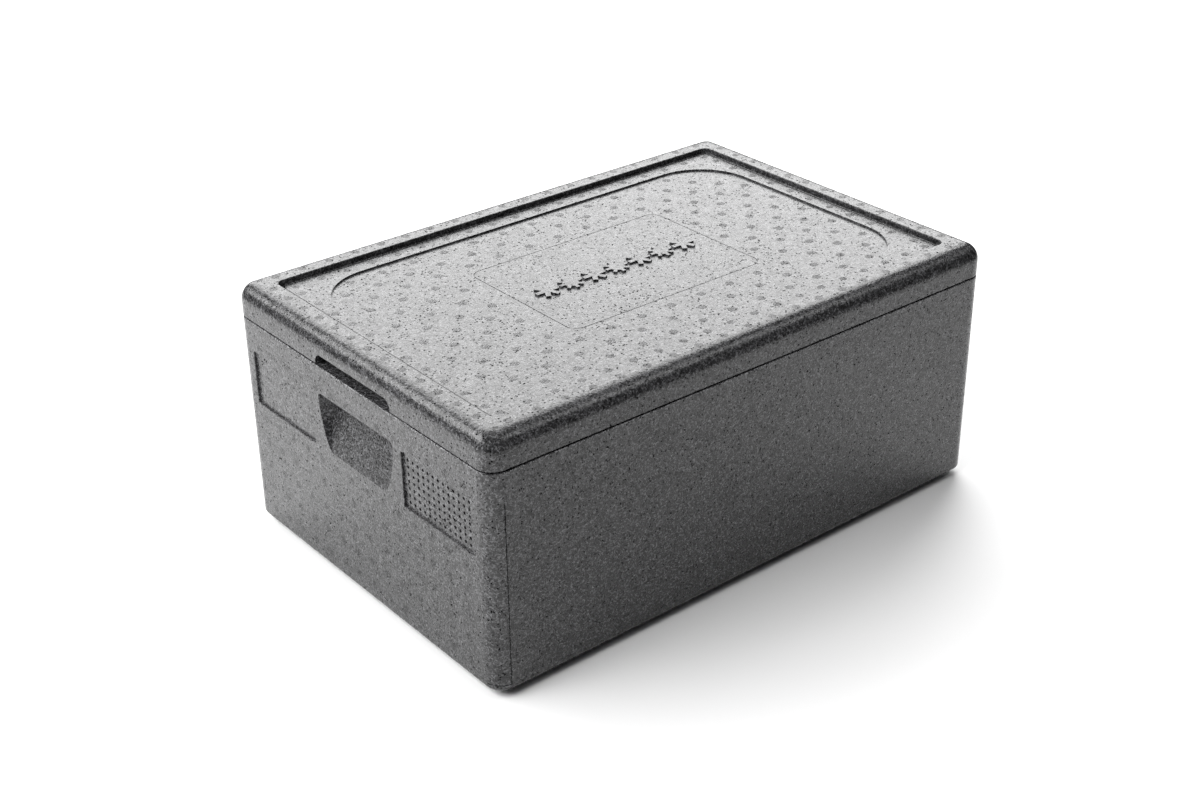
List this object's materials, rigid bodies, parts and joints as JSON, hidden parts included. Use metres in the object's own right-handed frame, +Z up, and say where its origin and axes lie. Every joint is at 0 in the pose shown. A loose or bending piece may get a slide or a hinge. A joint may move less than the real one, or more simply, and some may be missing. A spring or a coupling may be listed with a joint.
{
  "type": "insulated food carrier",
  "caption": "Two-part bead-foam food carrier for full-size gastronorm pans: a thick-walled body with end handles and a tongue-and-groove lift-off lid with a stacking recess.",
  "frame": {"origin": "on the floor, under the middle of the base", "axes": "+X along the length, towards the end wall opposite the one the corner seam is on; +Y across the width; +Z up"},
  "size_m": [0.6, 0.4, 0.257],
  "materials": {
    "bead_foam_body": "moulded bead foam, satin skin with fine pits",
    "bead_foam_lid": "moulded bead foam, satin skin with fine pits"
  },
  "bodies": {
    "body": {"box_body": "bead_foam_body"},
    "lid": {"lid": "bead_foam_lid"}
  },
  "joints": [
    {"name": "lid_lift", "type": "slide", "parent": "body", "child": "lid", "axis": [0, 0, 1], "range_m": [0, 0.25]}
  ]
}
